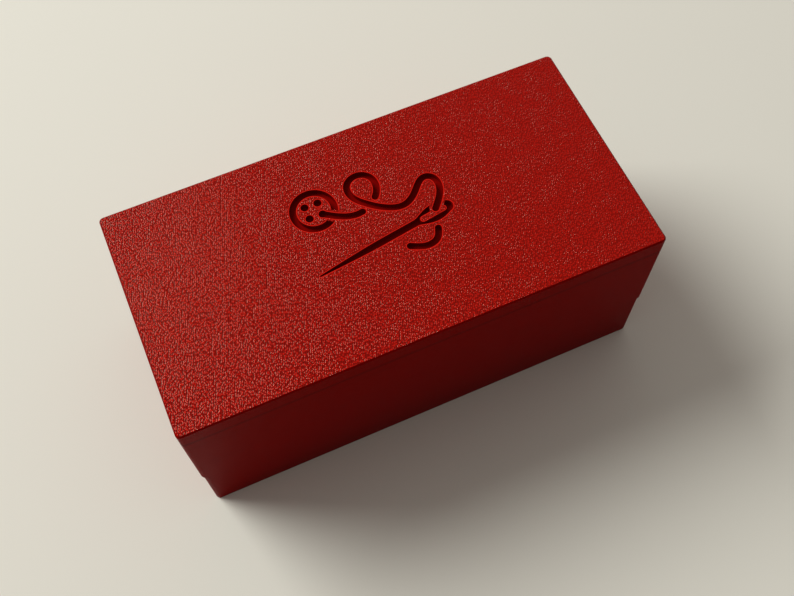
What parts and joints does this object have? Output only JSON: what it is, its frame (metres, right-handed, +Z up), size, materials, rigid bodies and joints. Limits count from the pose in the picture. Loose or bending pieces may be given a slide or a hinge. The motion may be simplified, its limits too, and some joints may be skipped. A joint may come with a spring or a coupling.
{
  "type": "needle box",
  "caption": "Rectangular needle box: a deep lift-off lid over a necked base, with drop-in index dividers that keep packs of sewing needles sorted.",
  "frame": {"origin": "middle of the underside, on the surface that the box stands on", "axes": "+X along the length, +Y from the long front towards the back, +Z up through the lid"},
  "size_m": [0.12, 0.0596, 0.0495],
  "materials": {
    "red_plastic": "printed plastic, pebbled on the lid's top and the underside, fine layer lines on the walls"
  },
  "bodies": {
    "base": {"base": "red_plastic"},
    "lid": {"lid": "red_plastic"},
    "divider_1": {"divider_1": "red_plastic"},
    "divider_2": {"divider_2": "red_plastic"},
    "divider_3": {"divider_3": "red_plastic"},
    "divider_4": {"divider_4": "red_plastic"},
    "divider_5": {"divider_5": "red_plastic"},
    "divider_6": {"divider_6": "red_plastic"}
  },
  "joints": [
    {"name": "lid_lift", "type": "slide", "parent": "base", "child": "lid", "axis": [0, 0, 1], "range_m": [0, 0.06]},
    {"name": "divider_1_lift", "type": "slide", "parent": "base", "child": "divider_1", "axis": [0, 0, 1], "range_m": [0, 0.004]},
    {"name": "divider_2_lift", "type": "slide", "parent": "base", "child": "divider_2", "axis": [0, 0, 1], "range_m": [0, 0.004]},
    {"name": "divider_3_lift", "type": "slide", "parent": "base", "child": "divider_3", "axis": [0, 0, 1], "range_m": [0, 0.004]},
    {"name": "divider_4_lift", "type": "slide", "parent": "base", "child": "divider_4", "axis": [0, 0, 1], "range_m": [0, 0.004]},
    {"name": "divider_5_lift", "type": "slide", "parent": "base", "child": "divider_5", "axis": [0, 0, 1], "range_m": [0, 0.004]},
    {"name": "divider_6_lift", "type": "slide", "parent": "base", "child": "divider_6", "axis": [0, 0, 1], "range_m": [0, 0.004]}
  ]
}
